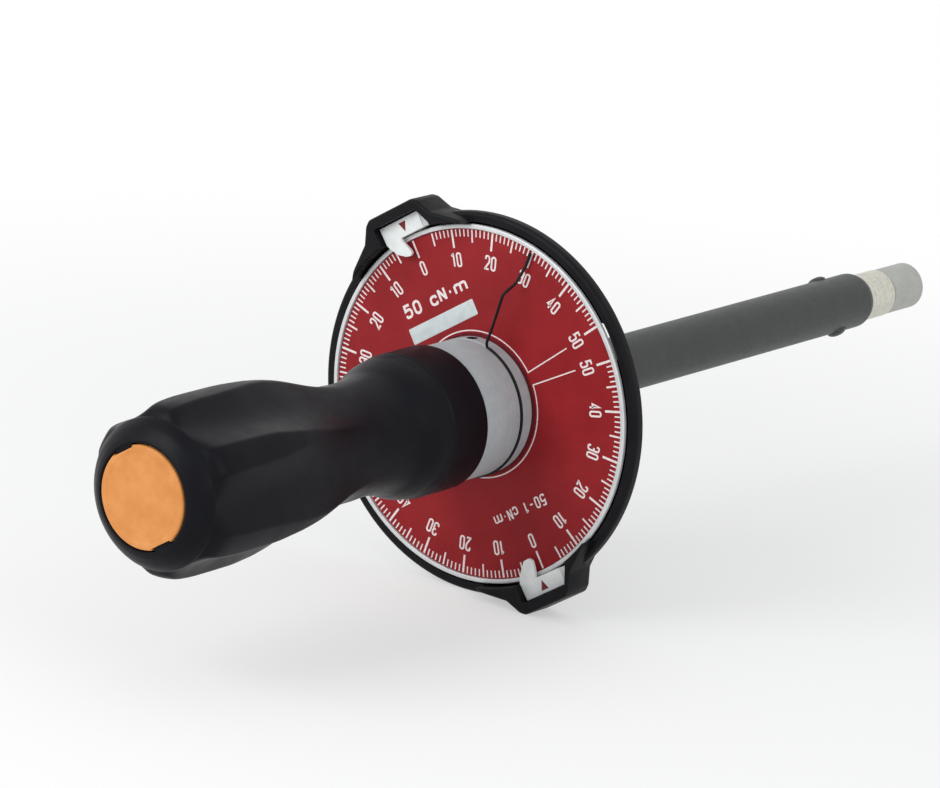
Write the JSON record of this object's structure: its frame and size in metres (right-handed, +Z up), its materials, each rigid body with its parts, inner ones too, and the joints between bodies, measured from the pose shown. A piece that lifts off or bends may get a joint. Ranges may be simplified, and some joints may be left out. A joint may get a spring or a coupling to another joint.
{
  "type": "dial torque screwdriver",
  "caption": "Hand torque screwdriver: fluted grip, round scale dial with wire memory pointer, turning index frame with ears, long tube and hexagon bit holder.",
  "frame": {"origin": "bottom centre of the bounding box: under the tool axis, midway between the end cap and the bit holder, at the height of the index frame's lowest point", "axes": "+Y along the tool axis, from the grip to the bit holder; +Z up; the tool is turned 33.3 degrees about its axis from upper ear on top, so the ring of the index frame and the lower ear touch z = 0 together; it is held by its grip"},
  "size_m": [0.08, 0.2648, 0.08],
  "materials": {
    "grip": "black, faint satin",
    "grip_cap": "orange, matt",
    "grip_nut": "plain steel",
    "grip_washer": "plain steel",
    "drive_dowel": "ground steel",
    "spindle": "turned steel",
    "collar": "satin, turned",
    "collar_set_screw": "blackened",
    "dial_plate": "satin",
    "scale_face": "red, semi-gloss, printed in white",
    "dial_screw_1": "plain steel",
    "dial_screw_2": "plain steel",
    "dial_screw_3": "plain steel",
    "torsion_bar": "spring steel",
    "bar_pin": "ground steel",
    "journal_clip": "spring steel, dark",
    "memory_pointer": "black spring wire",
    "index_frame": "black, satin",
    "index_upper": "white",
    "index_lower": "white",
    "hub_set_screw": "blackened",
    "tube": "dark grey, satin",
    "rear_bush": "plain bronze",
    "front_bush": "plain bronze",
    "tube_screw_upper": "blackened",
    "tube_screw_lower": "blackened",
    "bit_holder": "bright, nickel-like",
    "detent_ball": "polished",
    "chuck_sleeve": "grey, matt"
  },
  "bodies": {
    "grip": {"grip": "grip", "grip_cap": "grip_cap", "grip_nut": "grip_nut", "grip_washer": "grip_washer", "drive_dowel": "drive_dowel", "spindle": "spindle", "collar": "collar", "collar_set_screw": "collar_set_screw", "dial_plate": "dial_plate", "scale_face": "scale_face", "dial_screw_1": "dial_screw_1", "dial_screw_2": "dial_screw_2", "dial_screw_3": "dial_screw_3", "torsion_bar": "torsion_bar", "bar_pin": "bar_pin", "journal_clip": "journal_clip"},
    "driver": {"index_frame": "index_frame", "index_upper": "index_upper", "index_lower": "index_lower", "hub_set_screw": "hub_set_screw", "tube": "tube", "rear_bush": "rear_bush", "front_bush": "front_bush", "tube_screw_upper": "tube_screw_upper", "tube_screw_lower": "tube_screw_lower", "bit_holder": "bit_holder", "detent_ball": "detent_ball"},
    "pointer": {"memory_pointer": "memory_pointer"},
    "chuck": {"chuck_sleeve": "chuck_sleeve"}
  },
  "joints": [
    {"name": "driver_turn", "type": "hinge", "parent": "grip", "child": "driver", "pos_m": [0, -0.02715, 0.04], "axis": [0, 1, 0], "range_deg": [-84, 84], "stiffness_Nm_per_rad": 0.341},
    {"name": "pointer_turn", "type": "hinge", "parent": "grip", "child": "pointer", "pos_m": [0, -0.03065, 0.04], "axis": [0, 1, 0], "range_deg": [-48, 127]},
    {"name": "sleeve_slide", "type": "slide", "parent": "driver", "child": "chuck", "axis": [0, 1, 0], "range_m": [0, 0.0025]}
  ]
}
